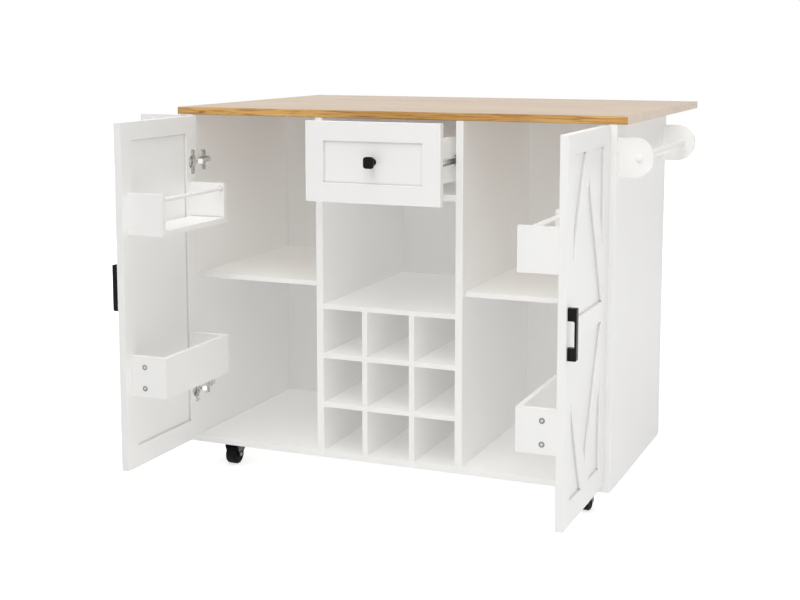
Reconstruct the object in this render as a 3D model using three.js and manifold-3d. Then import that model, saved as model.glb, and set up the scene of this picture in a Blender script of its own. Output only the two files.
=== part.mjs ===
// Kitchen island on casters: a painted carcass with two braced doors that carry
// racks, a drawer over an open niche, a bottle rack, a wooden top and a drop leaf.
// Millimetres, +Z up, front towards -Y. Doors stand a quarter turn open, the
// drawer part way out and the leaf raised on its folding brackets.
import * as THREE from 'three';
import { mergeVertices } from 'three/addons/utils/BufferGeometryUtils.js';
import Module from 'manifold-3d';

// ---------------------------------------------------------------- dimensions
const CLEAR = 0.25;               // running and fitting clearance
const TURNED_SIDES = 18;          // facets round a turned piece
const WHEEL_SIDES = 24;

const PANEL_T = 18;               // side panels, dividers and doors
const TOP_T = 18;
const BOARD_T = 12;               // shelves and rack boards
const INNER_W = 1048;             // between the side panels
const INNER_D = 506;              // front edge to back panel
const BACK_T = 6;
const SIDE_LAP = 8.5;             // side panels behind the back panel's inner face
const SIDE_D = INNER_D + SIDE_LAP;
const CASTER_H = 73;              // floor to carcass
const CARCASS_H = 830;
const BOTTOM_T = 16.5;

const BAY_W = 339;                // between the dividers
const SHELF_UP = 420.5;           // side shelves' undersides over the carcass bottom
const SETBACK = 20;               // shelf edge behind the carcass front
const DRAWER_ROOM = 173;
const DECK_T = 15;                // panel under the drawer

const CELL_H = 109.5;             // bottle rack cells
const CELL_MID_W = 107.5;
const UPRIGHT_T = 13.5;

const TOP_OVER_SIDE = 24;         // top beyond the side panels and the back panel
const TOP_OVER_BACK = 10;
const TOP_W = INNER_W + 2 * (PANEL_T + TOP_OVER_SIDE);
const TOP_D = INNER_D + BACK_T + TOP_OVER_BACK;
const LEAF_D = 278;
const LEAF_GAP = 1;
const EDGE_R = 3;

const DOOR_GAP_SIDE = 3;
const DOOR_GAP_FREE = 3.5;
const DOOR_W = (INNER_W - BAY_W) / 2 - PANEL_T - DOOR_GAP_SIDE - DOOR_GAP_FREE;
const DOOR_GAP_LOW = 2.5;
const DOOR_GAP_HIGH = 2;
const HINGE_BACK = 2.25;          // hinge centre behind the shut door's face
const HINGE_OUT = 2.75;           // and outside the side panel's inner face
const STILE_HINGE = 49;
const STILE_FREE = 45;
const RAIL_TOP = 42;
const RAIL_BOTTOM = 50;
const RAIL_MID_UP = 385;          // middle rail over the door's bottom edge
const RAIL_MID = 43;
const BRACE_W = 48;
const BRACE_RISE = 284;           // height of the triangle inside a pair of braces
const RECESS = 6;                 // door and drawer panels behind their frames

const RACK_D = 93;
const RACK_FROM = 22;             // rack end, from the door's hinge edge
const RACK_L = DOOR_W - 2 * RACK_FROM;
const RACK_H = 96;
const RACK_RAIL_R = 5;
const RACK_RAIL_IN = 8;           // rail centre in from the rack's front
const RACK_RAIL_DOWN = 14;

const CUP_R = 17.5;
const CUP_FROM = 21.5;            // cup centre, from the door's hinge edge
const CUP_D = 11.75;
const CUP_WALL = 0.9;
const FLANGE = [18, 60, 1.2];     // cup flange: width, height, thickness
const NOSE = [18, 13.5];          // link pin from the hinge centre, door shut
const NOSE_R = 2.4;
const PIN_R = 1.3;
const LINK_L = 24;
const LINK_H = 7;
const LINK_TIP = 1.75;            // how far the link's tip bends past its pin
const ARM_H = 11;
const ARM_L = 50;
const ARM_W = 12;
const ARM_BASE_T = 3;
const WING_FROM = 14;             // mounting plate's wings, from the arm's front
const WING_W = 18;

const DRAWER_OUT = 93;            // how far the drawer stands open
const FRONT_GAP_SIDE = 2;
const FRONT_GAP_HIGH = 2;
const FRONT_W = BAY_W - 2 * FRONT_GAP_SIDE;
const FRONT_H = 187;
const FRONT_FRAME = 45;
const SLIDE_ROOM = 13;            // between the drawer box and the divider
const BOX_W = BAY_W - 2 * SLIDE_ROOM;
const BOX_H = 103;
const BOX_UP = 48;                // box bottom over the front's bottom edge
const BOX_L = 430;
const BOX_WALL = 12;
const BOX_FLOOR = 6;
const BOX_FLOOR_UP = 6;
const SLIDE_UP = 49;              // slide centre line over the box bottom
const SLIDE_L = 400;
const SLIDE_H = 27;
const SLIDE_SHEET = 1.5;

const KNOB = [25, 27, 9];        // width, height and thickness of the head
const KNOB_OUT = 28;
const PULL_H = 108;
const PULL_W = 13;
const PULL_OUT = 19;
const PULL_FOOT = 26.5;
const PULL_BAR_T = 4.5;
const PULL_FROM_EDGE = 16;
const PULL_R = 3;

const FITTING_T = 16;             // end boards of both side fittings
const TOWEL_OUT = 77;
const TOWEL_H = 88;
const TOWEL_DOWN = 29;            // bracket top below the underside of the top
const TOWEL_BAR_R = 9;
const TOWEL_BAR_OUT = 46;
const TRAY_OUT = 147;
const TRAY_H = 95;
const TRAY_DOWN = 3;
const TRAY_RAIL_R = 6;
const TRAY_RAIL_OUT = 113;
const TRAY_RAIL_DOWN = 10;
const NUB = 3;                    // how far a bar's end stands proud of its board

const WHEEL_R = 25;
const WHEEL_W = 28;
const TRAIL = 22;                 // axle ahead of the stem
const AXLE_R = 3;
const STEM_R = 5;
const STEM_L = 12;
const CHEEK_T = 2.5;
const CHEEK_REACH = 18;           // fork's top ahead of the axle
const CROWN_BACK = 12;
const CASTER_IN = 59;            // stem in from the side panel
const CASTER_Y = [102, 420];

const HINGE_DROP = 5;             // leaf hinge pin below the underside of the top
const LEAF_ARM = 150;             // hinge pin to strut pin
const STRUT_DROP = 150;           // strut foot below the strut pin
const PIN_DROP = 3.5;             // strut pin below the hinge pin
const BRACKET_W = 18;
const BRACKET_SHEET = 2.5;
const BOSS_R = 4;
const STRUT_T = 3.5;
const STRUT_PIN_R = 2.25;
const HINGE_PIN_R = 2.5;
const NECK_DROP = 26;             // where the channel narrows, below the hinge pin
const PLATE_PAST = 70;            // arm's plate beyond the strut pin

// The doors' fittings, by their heights over the door's bottom edge.
const LEFT_RACKS = [175, 552];
const LEFT_HINGES = [122, 696];
const LEFT_PULL = 429;
const RIGHT_RACKS = [152, 527];
const RIGHT_HINGES = [99, 676];
const RIGHT_PULL = 409;
const DOORS = [
  { name: 'left', flip: 1, racks: LEFT_RACKS, hinges: LEFT_HINGES, pull: LEFT_PULL },
  { name: 'right', flip: -1, racks: RIGHT_RACKS, hinges: RIGHT_HINGES, pull: RIGHT_PULL },
];

// ---------------------------------------------------------------- finishes
function finish(color, roughness, metalness) {
  return new THREE.MeshStandardMaterial({ color, roughness, metalness });
}
const WHITE = finish(0xf1f0ed, 0.45, 0);
const WOOD = finish(0xc99a5f, 0.4, 0);
const BLACK = finish(0x15151a, 0.35, 0.3);
const RUBBER = finish(0x1b1b1d, 0.7, 0);
const STEEL = finish(0x9b9da0, 0.3, 0.9);

// ---------------------------------------------------------------- solids
const wasm = await Module();
wasm.setup();

function solid(geometry) {
  geometry.deleteAttribute('normal');
  geometry.deleteAttribute('uv');
  const welded = mergeVertices(geometry, 1e-4);
  return new wasm.Manifold(new wasm.Mesh({
    numProp: 3,
    vertProperties: welded.attributes.position.array,
    triVerts: new Uint32Array(welded.index.array),
  }));
}

// flip = -1 gives the mirror image in X, with its faces still pointing out.
function surface(body, flip) {
  const mesh = body.getMesh();
  const points = Float32Array.from(mesh.vertProperties);
  const corners = Uint32Array.from(mesh.triVerts);
  if (flip < 0) {
    for (let i = 0; i < points.length; i += 3) points[i] = -points[i];
    for (let i = 0; i < corners.length; i += 3) {
      const first = corners[i];
      corners[i] = corners[i + 1];
      corners[i + 1] = first;
    }
  }
  const geometry = new THREE.BufferGeometry();
  geometry.setAttribute('position', new THREE.BufferAttribute(points, 3));
  geometry.setIndex(new THREE.BufferAttribute(corners, 1));
  geometry.computeVertexNormals();
  return geometry;
}

function put(parent, name, body, material, flip = 1) {
  const mesh = new THREE.Mesh(surface(body, flip), material);
  mesh.name = name;
  parent.add(mesh);
}

function joined(...bodies) {
  return bodies.reduce((whole, body) => whole.add(body));
}

function cut(body, ...tools) {
  return tools.reduce((whole, tool) => whole.subtract(tool), body);
}

function box(x, y, z) {
  const geometry = new THREE.BoxGeometry(x[1] - x[0], y[1] - y[0], z[1] - z[0]);
  geometry.translate((x[0] + x[1]) / 2, (y[0] + y[1]) / 2, (z[0] + z[1]) / 2);
  return solid(geometry);
}

// The plane a flat shape is drawn in; its thickness runs along the third axis.
const PLANES = {
  xy: new THREE.Matrix4(),
  yz: new THREE.Matrix4().set(0, 0, 1, 0, 1, 0, 0, 0, 0, 1, 0, 0, 0, 0, 0, 1),
  xz: new THREE.Matrix4().set(1, 0, 0, 0, 0, 0, -1, 0, 0, 1, 0, 0, 0, 0, 0, 1),
};

function extruded(shape, plane, span, curveSegments = 6) {
  const depth = span[1] - span[0];
  const geometry = new THREE.ExtrudeGeometry(shape, { depth, bevelEnabled: false, curveSegments });
  geometry.translate(0, 0, plane === 'xz' ? -span[1] : span[0]);
  geometry.applyMatrix4(PLANES[plane]);
  return solid(geometry);
}

function outline(points) {
  return new THREE.Shape(points.map(([a, b]) => new THREE.Vector2(a, b)));
}

const QUARTER = Math.PI / 2;

// Rectangle with a radius on each corner, anticlockwise from the lower left.
function rounded(a, b, radii) {
  const [r1, r2, r3, r4] = radii;
  const shape = new THREE.Shape();
  shape.moveTo(a[0] + r1, b[0]);
  shape.lineTo(a[1] - r2, b[0]);
  if (r2) shape.absarc(a[1] - r2, b[0] + r2, r2, -QUARTER, 0);
  shape.lineTo(a[1], b[1] - r3);
  if (r3) shape.absarc(a[1] - r3, b[1] - r3, r3, 0, QUARTER);
  shape.lineTo(a[0] + r4, b[1]);
  if (r4) shape.absarc(a[0] + r4, b[1] - r4, r4, QUARTER, 2 * QUARTER);
  shape.lineTo(a[0], b[0] + r1);
  if (r1) shape.absarc(a[0] + r1, b[0] + r1, r1, 2 * QUARTER, 3 * QUARTER);
  return shape;
}

// Bar with round ends between two points.
function capsule(from, to, radius) {
  const turn = Math.atan2(to[1] - from[1], to[0] - from[0]);
  const shape = new THREE.Shape();
  shape.absarc(to[0], to[1], radius, turn - QUARTER, turn + QUARTER);
  shape.absarc(from[0], from[1], radius, turn + QUARTER, turn + 3 * QUARTER);
  return shape;
}

// Round bar along an axis; centre holds its two other coordinates in order.
function rod(radius, axis, centre, span, sides = 16) {
  const geometry = new THREE.CylinderGeometry(radius, radius, span[1] - span[0], sides);
  const middle = (span[0] + span[1]) / 2;
  if (axis === 'x') {
    geometry.rotateZ(QUARTER);
    geometry.translate(middle, centre[0], centre[1]);
  } else if (axis === 'y') {
    geometry.translate(centre[0], middle, centre[1]);
  } else {
    geometry.rotateX(QUARTER);
    geometry.translate(centre[0], centre[1], middle);
  }
  return solid(geometry);
}

// Turned piece about the Y axis from its radii and heights, lowest first.
function lathed(profile, sides) {
  return new THREE.LatheGeometry(profile.map(([r, h]) => new THREE.Vector2(r, h)), sides);
}

// ---------------------------------------------------------------- carcass
const HALF_IN = INNER_W / 2;
const CASTER_X = HALF_IN - CASTER_IN;
const HALF_OUT = HALF_IN + PANEL_T;
const HALF_BAY = BAY_W / 2;
const BAY_OUT = HALF_BAY + PANEL_T;
const TOP_Z = CASTER_H + CARCASS_H;
const FLOOR_Z = CASTER_H + BOTTOM_T;
const DECK_Z = TOP_Z - DRAWER_ROOM - DECK_T;
const WALL_Y = INNER_D + BACK_T;
const DEEP = [0, INNER_D];
const SIGNS = [['left', -1], ['right', 1]];

const island = new THREE.Group();

function onSide(sign, near, far) {
  return sign > 0 ? [near, far] : [-far, -near];
}

function addCarcass() {
  const shelfZ = CASTER_H + SHELF_UP;
  for (const [name, sign] of SIGNS) {
    const side = box(onSide(sign, HALF_IN, HALF_OUT), [0, SIDE_D], [CASTER_H, TOP_Z]);
    put(island, `side_panel_${name}`, side, WHITE);
    const divider = box(onSide(sign, HALF_BAY, BAY_OUT), DEEP, [FLOOR_Z, TOP_Z]);
    put(island, `divider_${name}`, divider, WHITE);
    const shelfX = onSide(sign, BAY_OUT, HALF_IN);
    const shelf = box(shelfX, [SETBACK, INNER_D], [shelfZ, shelfZ + BOARD_T]);
    put(island, `shelf_${name}`, shelf, WHITE);
  }
  const across = [-HALF_IN, HALF_IN];
  const holeZ = [CASTER_H - 1, CASTER_H + STEM_L + CLEAR];
  const stemHoles = [-CASTER_X, CASTER_X].flatMap((x) =>
    CASTER_Y.map((y) => rod(STEM_R + CLEAR, 'z', [x, y], holeZ)));
  put(island, 'bottom_panel', cut(box(across, DEEP, [CASTER_H, FLOOR_Z]), ...stemHoles), WHITE);
  put(island, 'back_panel', box(across, [INNER_D, WALL_Y], [CASTER_H, TOP_Z]), WHITE);
  const deck = box([-HALF_BAY, HALF_BAY], [SETBACK, INNER_D], [DECK_Z, DECK_Z + DECK_T]);
  put(island, 'drawer_deck', deck, WHITE);
}

// Uprights are slotted from the front and shelves from the back, so that they
// cross and lock like an egg crate.
function addBottleRack() {
  const bay = [-HALF_BAY, HALF_BAY];
  const lap = INNER_D / 2;
  const [lower, upper, top] = [1, 2, 3].map((n) => FLOOR_Z + n * CELL_H + (n - 1) * BOARD_T);
  const near = CELL_MID_W / 2;
  const far = near + UPRIGHT_T;
  for (const [name, sign] of SIGNS) {
    const x = onSide(sign, near, far);
    const slots = [lower, upper].map((z) =>
      box([x[0] - 1, x[1] + 1], [-1, lap + CLEAR], [z - CLEAR, z + BOARD_T + CLEAR]));
    const upright = cut(box(x, DEEP, [FLOOR_Z, top]), ...slots);
    put(island, `bottle_rack_upright_${name}`, upright, WHITE);
  }
  for (const [name, z] of [['lower', lower], ['upper', upper]]) {
    const slots = SIGNS.map(([, sign]) =>
      box(onSide(sign, near - CLEAR, far + CLEAR), [lap, INNER_D + 1], [z - 1, z + BOARD_T + 1]));
    const shelf = cut(box(bay, DEEP, [z, z + BOARD_T]), ...slots);
    put(island, `bottle_rack_shelf_${name}`, shelf, WHITE);
  }
  put(island, 'bottle_rack_top', box(bay, DEEP, [top, top + BOARD_T]), WHITE);
}

// ---------------------------------------------------------------- top and leaf
// The leaf hangs from two folding brackets. Each is a channel on the cabinet's
// back, an arm under the leaf that turns on a pin at the channel's head, and a
// strut between them. Strut, arm and channel fit cheek inside cheek, so the
// folded bracket lies flat. The leaf group's origin is the hinge pin.
const HINGE_Y = TOP_D + LEAF_GAP / 2;
const HINGE_Z = TOP_Z - HINGE_DROP;
const STRUT_PIN = [LEAF_ARM, -PIN_DROP];
const STRUT_FOOT = [-LEAF_ARM - PIN_DROP, -STRUT_DROP];
const CHANNEL_HALF = BRACKET_W / 2;
const ARM_HALF = CHANNEL_HALF - BRACKET_SHEET - 2 * CLEAR;

function addTop() {
  const wide = [-TOP_W / 2, TOP_W / 2];
  const topEdge = rounded([0, TOP_D], [TOP_Z, TOP_Z + TOP_T], [EDGE_R, 0, 0, EDGE_R]);
  put(island, 'main_top', extruded(topEdge, 'yz', wide, 4), WOOD);
  const leaf = new THREE.Group();
  leaf.position.set(0, HINGE_Y, HINGE_Z);
  island.add(leaf);
  const leafY = [LEAF_GAP / 2, LEAF_GAP / 2 + LEAF_D];
  const leafEdge = rounded(leafY, [HINGE_DROP, HINGE_DROP + TOP_T], [0, EDGE_R, EDGE_R, 0]);
  put(leaf, 'drop_leaf', extruded(leafEdge, 'yz', wide, 4), WOOD);
  for (const [name, sign] of SIGNS) {
    const x = sign * (HALF_BAY + PANEL_T / 2);
    put(island, `leaf_bracket_channel_${name}`, bracketChannel(x), STEEL);
    put(leaf, `leaf_bracket_arm_${name}`, bracketArm(x), STEEL);
    const strut = new THREE.Group();
    strut.position.set(x, ...STRUT_PIN);
    leaf.add(strut);
    put(strut, `leaf_bracket_strut_${name}`, bracketStrut(), STEEL);
  }
}

// Two equal plates, one each side of the plane X = x.
function cheeks(shape, x, near, far) {
  return joined(
    extruded(shape, 'yz', [x - far, x - near]),
    extruded(shape, 'yz', [x + near, x + far]),
  );
}

function bracketChannel(x) {
  const wide = [x - CHANNEL_HALF, x + CHANNEL_HALF];
  const low = HINGE_Z - LEAF_ARM - Math.hypot(...STRUT_FOOT) - 4 * BOSS_R;
  const high = HINGE_Z + BOSS_R;
  const front = WALL_Y + 2 * BOSS_R;
  const side = new THREE.Shape();
  side.moveTo(WALL_Y, low);
  side.lineTo(front - BOSS_R, low);
  side.lineTo(front, low + BOSS_R);
  side.lineTo(front, HINGE_Z - NECK_DROP);
  side.lineTo(HINGE_Y + BOSS_R, HINGE_Z - 6);
  side.absarc(HINGE_Y, HINGE_Z, BOSS_R, 0, QUARTER);
  side.lineTo(WALL_Y, high);
  return joined(
    box(wide, [WALL_Y, WALL_Y + BRACKET_SHEET - CLEAR], [low, high]),
    cheeks(side, x, CHANNEL_HALF - BRACKET_SHEET, CHANNEL_HALF),
    rod(HINGE_PIN_R, 'x', [HINGE_Y, HINGE_Z], wide),
  );
}

function bracketArm(x) {
  const wide = [x - CHANNEL_HALF, x + CHANNEL_HALF];
  const [pinY, pinZ] = STRUT_PIN;
  const plateFrom = 3.5 * BOSS_R;
  const ear = new THREE.Shape();
  ear.absarc(0, 0, BOSS_R, QUARTER, 3 * QUARTER);
  ear.lineTo(9, -1);
  ear.lineTo(pinY - 22, -1);
  ear.lineTo(pinY - 3, pinZ - 4);
  ear.absarc(pinY, pinZ, BOSS_R + 0.5, 2.6 * QUARTER, 4 * QUARTER);
  ear.lineTo(pinY + 18, HINGE_DROP);
  ear.lineTo(plateFrom, HINGE_DROP);
  ear.lineTo(6, BOSS_R);
  return cut(
    joined(
      box(wide, [plateFrom, pinY + PLATE_PAST], [HINGE_DROP - BRACKET_SHEET, HINGE_DROP]),
      cheeks(ear, x, ARM_HALF - BRACKET_SHEET, ARM_HALF),
      rod(STRUT_PIN_R, 'x', STRUT_PIN, [x - ARM_HALF, x + ARM_HALF]),
    ),
    rod(HINGE_PIN_R + CLEAR, 'x', [0, 0], wide),
  );
}

function bracketStrut() {
  const half = STRUT_T / 2;
  return cut(
    joined(
      extruded(capsule(STRUT_FOOT, [0, 0], BOSS_R), 'yz', [-half, half]),
      rod(BOSS_R - 1, 'x', STRUT_FOOT, [-ARM_HALF, ARM_HALF]),
    ),
    rod(STRUT_PIN_R + CLEAR, 'x', [0, 0], [-ARM_HALF, ARM_HALF]),
  );
}

// ---------------------------------------------------------------- drawer
// Drawn shut and moved forward as one group. Its origin is the middle of the
// front's lower edge, in the plane of the carcass front.
const FRONT_Z = TOP_Z - FRONT_GAP_HIGH - FRONT_H;
const SLIDE_Z = BOX_UP + SLIDE_UP;

function addDrawer() {
  const drawer = new THREE.Group();
  drawer.position.set(0, -DRAWER_OUT, FRONT_Z);
  island.add(drawer);
  put(drawer, 'drawer_front', drawerFront(), WHITE);
  put(drawer, 'drawer_box', drawerBox(), WHITE);
  put(drawer, 'drawer_knob', drawerKnob(), BLACK);
  for (const [name, sign] of SIGNS) {
    put(island, `slide_cabinet_${name}`, slideChannel(), STEEL, sign);
    put(drawer, `slide_drawer_${name}`, slideRunner(), STEEL, sign);
  }
}

function drawerFront() {
  const half = FRONT_W / 2;
  const inner = half - FRONT_FRAME;
  return cut(
    box([-half, half], [0, PANEL_T], [0, FRONT_H]),
    box([-inner, inner], [-1, RECESS], [FRONT_FRAME, FRONT_H - FRONT_FRAME]),
  );
}

function drawerBox() {
  const half = BOX_W / 2;
  const inner = half - BOX_WALL;
  const groove = BOX_WALL / 2;
  const y = [PANEL_T, PANEL_T + BOX_L];
  const high = BOX_UP + BOX_H;
  const floorZ = BOX_UP + BOX_FLOOR_UP;
  const walls = cut(
    box([-half, half], y, [BOX_UP, high]),
    box([-inner, inner], [y[0] + BOX_WALL, y[1] - BOX_WALL], [BOX_UP - 1, high + 1]),
  );
  const floorX = [groove - half, half - groove];
  const floor = box(floorX, [y[0] + groove, y[1] - groove], [floorZ, floorZ + BOX_FLOOR]);
  return joined(walls, floor);
}

// A turned neck under a square head with rounded corners and a soft edge.
function drawerKnob() {
  const [width, height, thick] = KNOB;
  const soft = 2;
  const z = FRONT_H / 2 + 2.5;
  const half = [width / 2 - soft, height / 2 - soft];
  const face = rounded([-half[0], half[0]], [-half[1], half[1]], [5, 5, 5, 5]);
  const head = new THREE.ExtrudeGeometry(face, {
    depth: thick - 2 * soft,
    bevelThickness: soft,
    bevelSize: soft,
    bevelSegments: 2,
    curveSegments: 4,
  });
  head.applyMatrix4(PLANES.xz);
  head.translate(0, RECESS - KNOB_OUT + thick - soft, z);
  const stem = KNOB_OUT - thick + 1;
  const turned = [[0, 0], [9, 0], [9, 2.5], [6, 5], [5.5, stem - 4], [8, stem], [0, stem]];
  const neck = lathed(turned, TURNED_SIDES);
  neck.rotateX(2 * QUARTER);
  neck.translate(0, RECESS, z);
  return joined(solid(head), solid(neck));
}

// Side slides, drawn for the right: the channel on the divider holds a narrower
// runner on the drawer box, which passes between its lips.
const SLIDE_HALF = SLIDE_H / 2;
const SLIDE_MOUTH = SLIDE_HALF - 5;
const SLIDE_FROM = PANEL_T + 1;

function mirroredProfile(points, middle) {
  const upper = points.map(([x, z]) => [x, middle + z]);
  const lower = points.map(([x, z]) => [x, middle - z]).reverse();
  return outline([...upper, ...lower]);
}

function slideChannel() {
  const middle = FRONT_Z + SLIDE_Z;
  const lip = HALF_BAY - SLIDE_ROOM + 2;
  const profile = mirroredProfile([
    [HALF_BAY, SLIDE_HALF], [lip, SLIDE_HALF], [lip, SLIDE_MOUTH],
    [lip + SLIDE_SHEET, SLIDE_MOUTH], [lip + SLIDE_SHEET, SLIDE_HALF - SLIDE_SHEET],
    [HALF_BAY - SLIDE_SHEET, SLIDE_HALF - SLIDE_SHEET],
  ], middle);
  const end = SLIDE_FROM + SLIDE_L;
  const tall = SLIDE_MOUTH - 1;
  const stop = box([lip + 2, HALF_BAY - 1], [end - 6, end], [middle - tall, middle + tall]);
  return joined(extruded(profile, 'xz', [SLIDE_FROM, end]), stop);
}

function slideRunner() {
  const side = BOX_W / 2;
  const rim = SLIDE_MOUTH - CLEAR;
  const out = side + SLIDE_ROOM - 3;
  const profile = mirroredProfile([
    [side, rim], [out, rim], [out, rim - SLIDE_SHEET], [side + SLIDE_SHEET, rim - SLIDE_SHEET],
  ], SLIDE_Z);
  return extruded(profile, 'xz', [SLIDE_FROM + 1, SLIDE_FROM + SLIDE_L - 12]);
}

// ---------------------------------------------------------------- doors
// Everything on a door is drawn shut: x from the hinge centre towards the free
// edge, y back from the hinge centre, z up from the door's lower edge. The group
// stands on the hinge centre and is turned open.
const DOOR_H = CARCASS_H - BOTTOM_T - DOOR_GAP_LOW - DOOR_GAP_HIGH;
const EDGE_X = DOOR_GAP_SIDE + HINGE_OUT;
const FREE_X = EDGE_X + DOOR_W;
const FACE_Y = -HINGE_BACK;
const INSIDE_Y = FACE_Y + PANEL_T;

function addDoor({ name, flip, racks, hinges, pull }) {
  const fixed = new THREE.Group();
  fixed.position.set(-flip * (HALF_IN + HINGE_OUT), HINGE_BACK, FLOOR_Z + DOOR_GAP_LOW);
  const door = new THREE.Group();
  door.position.copy(fixed.position);
  door.rotation.z = -flip * QUARTER;
  island.add(fixed, door);
  put(door, `door_${name}`, doorPanel(hinges), WHITE, flip);
  put(door, `door_pull_${name}`, doorPull(pull), BLACK, flip);
  ['lower', 'upper'].forEach((level, i) => {
    put(door, `door_rack_${name}_${level}`, doorRack(racks[i], i === 0), WHITE, flip);
    put(door, `hinge_cup_${name}_${level}`, hingeCup(hinges[i]), STEEL, flip);
    put(fixed, `hinge_arm_${name}_${level}`, hingeArm(hinges[i]), STEEL, flip);
    const link = new THREE.Group();
    link.position.set(flip * NOSE[0], NOSE[1], hinges[i]);
    link.rotation.z = -flip * QUARTER;
    fixed.add(link);
    put(link, `hinge_link_${name}_${level}`, hingeLink(), STEEL, flip);
  });
}

// The three triangles left between a pair of braces and the frame. The braces
// meet near the far rail; up is 1 for the upper pair and -1 for the lower one.
function braceOpenings(base, far, up) {
  const left = EDGE_X + STILE_HINGE;
  const right = FREE_X - STILE_FREE;
  const middle = (left + right) / 2;
  const slope = (right - middle) / BRACE_RISE;
  const across = BRACE_W * Math.hypot(1, slope);
  const apex = base + up * BRACE_RISE;
  const top = across - slope * Math.abs(far - apex);
  const low = apex - up * (right - middle - across) / slope;
  const triangles = [
    [[left, base], [right, base], [middle, apex]],
    [[middle + top, far], [right, far], [right, low]],
    [[middle - top, far], [left, low], [left, far]],
  ];
  return triangles.map(outline);
}

function doorPanel(hinges) {
  const rails = [RAIL_BOTTOM, DOOR_H - RAIL_TOP];
  const stiles = [EDGE_X + STILE_HINGE, FREE_X - STILE_FREE];
  const openings = [
    ...braceOpenings(RAIL_MID_UP + RAIL_MID, rails[1], 1),
    ...braceOpenings(RAIL_MID_UP, rails[0], -1),
  ];
  const relief = openings.map((shape) => extruded(shape, 'xz', [FACE_Y - 1, FACE_Y + RECESS]));
  const cupY = [INSIDE_Y - CUP_D - CLEAR, INSIDE_Y + 1];
  const pockets = hinges.map((z) => rod(CUP_R + CLEAR, 'y', [EDGE_X + CUP_FROM, z], cupY, 32));
  return cut(
    box([EDGE_X, FREE_X], [FACE_Y, INSIDE_Y], [0, DOOR_H]),
    box(stiles, [INSIDE_Y - RECESS, INSIDE_Y + 1], rails),
    ...relief,
    ...pockets,
  );
}

// A flat bar that stands off the stile on two tall feet.
function doorPull(z) {
  const out = FACE_Y - PULL_OUT;
  const low = z - PULL_H / 2;
  const high = z + PULL_H / 2;
  const middle = FREE_X - PULL_FROM_EDGE;
  const x = [middle - PULL_W / 2, middle + PULL_W / 2];
  const soft = [PULL_R, 0, 0, PULL_R];
  const gap = [low + PULL_FOOT, high - PULL_FOOT];
  return cut(
    extruded(rounded([out, FACE_Y], [low, high], soft), 'yz', x, 4),
    extruded(rounded([out + PULL_BAR_T, FACE_Y + 1], gap, soft), 'yz', [x[0] - 1, x[1] + 1], 4),
  );
}

// A rack on the inside of the door. The lower one has a solid front board, the
// upper one a round rail.
function doorRack(z, solidFront) {
  const x = [EDGE_X + RACK_FROM, EDGE_X + RACK_FROM + RACK_L];
  const y = [INSIDE_Y, INSIDE_Y + RACK_D];
  const high = [z, z + RACK_H];
  const between = [x[0] + BOARD_T / 2, x[1] - BOARD_T / 2];
  const rail = [y[1] - RACK_RAIL_IN, high[1] - RACK_RAIL_DOWN];
  const guard = solidFront
    ? box(x, [y[1] - BOARD_T, y[1]], high)
    : rod(RACK_RAIL_R, 'x', rail, between);
  return joined(
    box([x[0], x[0] + BOARD_T], y, high),
    box([x[1] - BOARD_T, x[1]], y, high),
    box(between, y, [z, z + BOARD_T]),
    guard,
  );
}

// Concealed hinge: cup in the door, arm on the side panel, link between them.
function hingeCup(z) {
  const x = EDGE_X + CUP_FROM;
  const inner = CUP_R - CUP_WALL;
  const bowl = lathed(
    [[0, 0], [CUP_R, 0], [CUP_R, CUP_D], [inner, CUP_D], [inner, CUP_WALL], [0, CUP_WALL]],
    32,
  );
  bowl.translate(x, INSIDE_Y - CUP_D, z);
  const [width, height, thick] = FLANGE;
  const wide = [x - width / 2, x + width / 2];
  const tall = [z - height / 2, z + height / 2];
  const flange = extruded(rounded(wide, tall, [5, 5, 5, 5]), 'xz', [INSIDE_Y, INSIDE_Y + thick], 3);
  const mouth = rod(inner, 'y', [x, z], [INSIDE_Y - 1, INSIDE_Y + thick + 1], 32);
  return joined(solid(bowl), cut(flange, mouth));
}

function hingeArm(z) {
  const [pinX, pinY] = NOSE;
  const face = HINGE_OUT;
  const top = face + ARM_BASE_T + ARM_W;
  const front = pinY + 6.75;
  const back = front + ARM_L;
  const half = ARM_H / 2;
  const body = outline([
    [face + 1, front], [top, front], [top, front + 22], [top - 3, back - 6],
    [top - 6, back], [face + 1, back],
  ]);
  // Lug that reaches from the arm's front to the link pin.
  const lug = new THREE.Shape();
  lug.absarc(pinX, pinY, NOSE_R, 2 * QUARTER, 4 * QUARTER);
  lug.lineTo(pinX + NOSE_R, front - 1);
  lug.lineTo(top, front + 1);
  lug.lineTo(top, front + 8);
  lug.lineTo(pinX - 6, front + 8);
  lug.lineTo(pinX - 6, front + 1);
  lug.lineTo(pinX - NOSE_R, pinY + 2);
  const lugZ = [LINK_H / 2 + CLEAR, half];
  // Cross-shaped mounting plate against the side panel.
  const wingY = [front + WING_FROM, front + WING_FROM + WING_W];
  const stem = half + 2;
  const wing = half + 20;
  const plate = mirroredProfile([
    [front + 4, stem], [wingY[0], stem], [wingY[0], wing], [wingY[1], wing],
    [wingY[1], stem], [back - 2, stem],
  ], z);
  return joined(
    extruded(plate, 'yz', [face, face + ARM_BASE_T]),
    extruded(body, 'xy', [z - half, z + half]),
    extruded(lug, 'xy', [z + lugZ[0], z + lugZ[1]]),
    extruded(lug, 'xy', [z - lugZ[1], z - lugZ[0]]),
    rod(PIN_R, 'z', NOSE, [z - half, z + half], 12),
  );
}

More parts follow.
